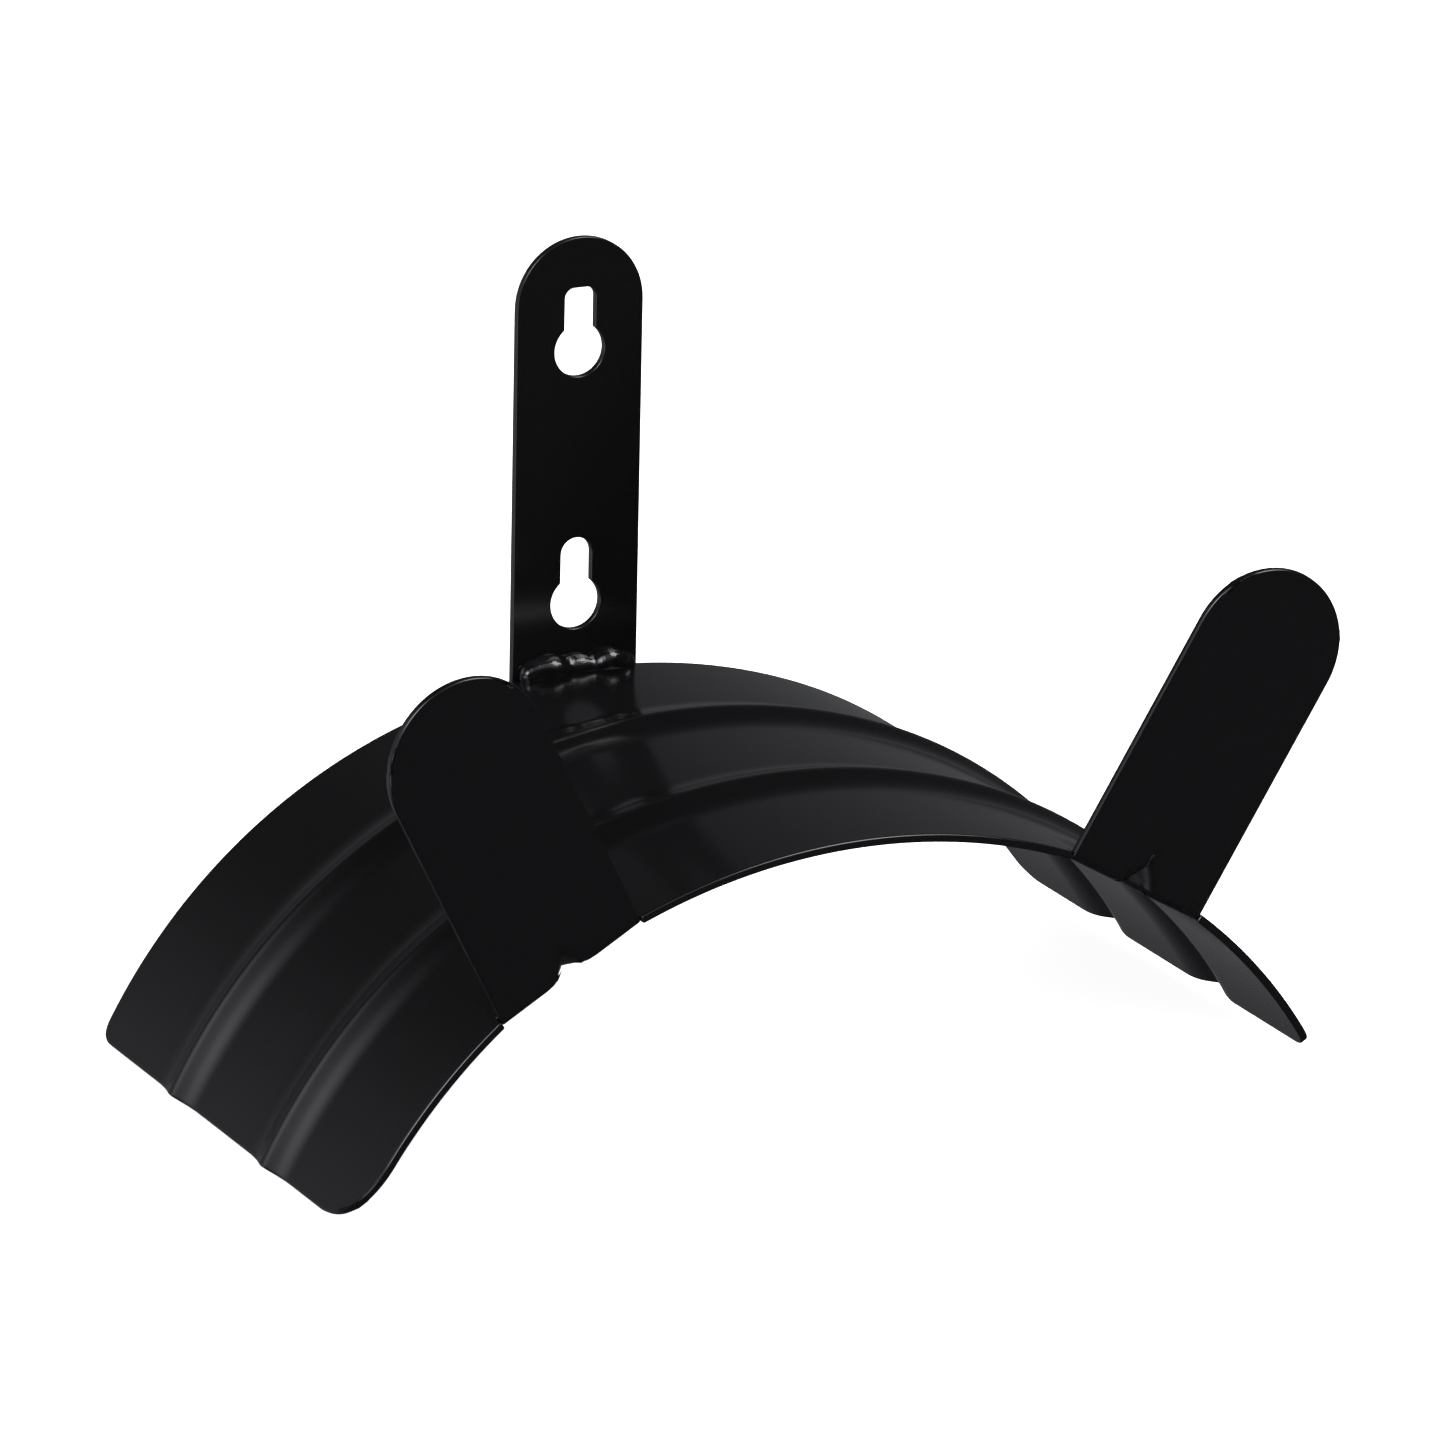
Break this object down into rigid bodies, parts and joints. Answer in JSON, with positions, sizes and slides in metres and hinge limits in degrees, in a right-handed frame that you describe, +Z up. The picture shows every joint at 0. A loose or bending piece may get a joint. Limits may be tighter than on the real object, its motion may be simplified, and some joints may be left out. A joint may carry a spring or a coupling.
{
  "type": "hose hanger",
  "caption": "Wall-mounted saddle hanger for a coiled garden hose: a ridged sheet-steel arch with upright tabs along its front edge and a keyholed strap behind.",
  "frame": {"origin": "on the strap's wall face, midway between the two keyholes' round entries", "axes": "+X along the wall, +Y into the wall (out of the strap's back face), +Z up; the hanger stands on the -Y side"},
  "size_m": [0.2442, 0.1431, 0.1773],
  "materials": {
    "black_gloss_coat": "gloss black powder coat over sheet steel"
  },
  "bodies": {
    "root": {"saddle": "black_gloss_coat", "wall_strap": "black_gloss_coat", "weld_bead": "black_gloss_coat"}
  },
  "joints": []
}
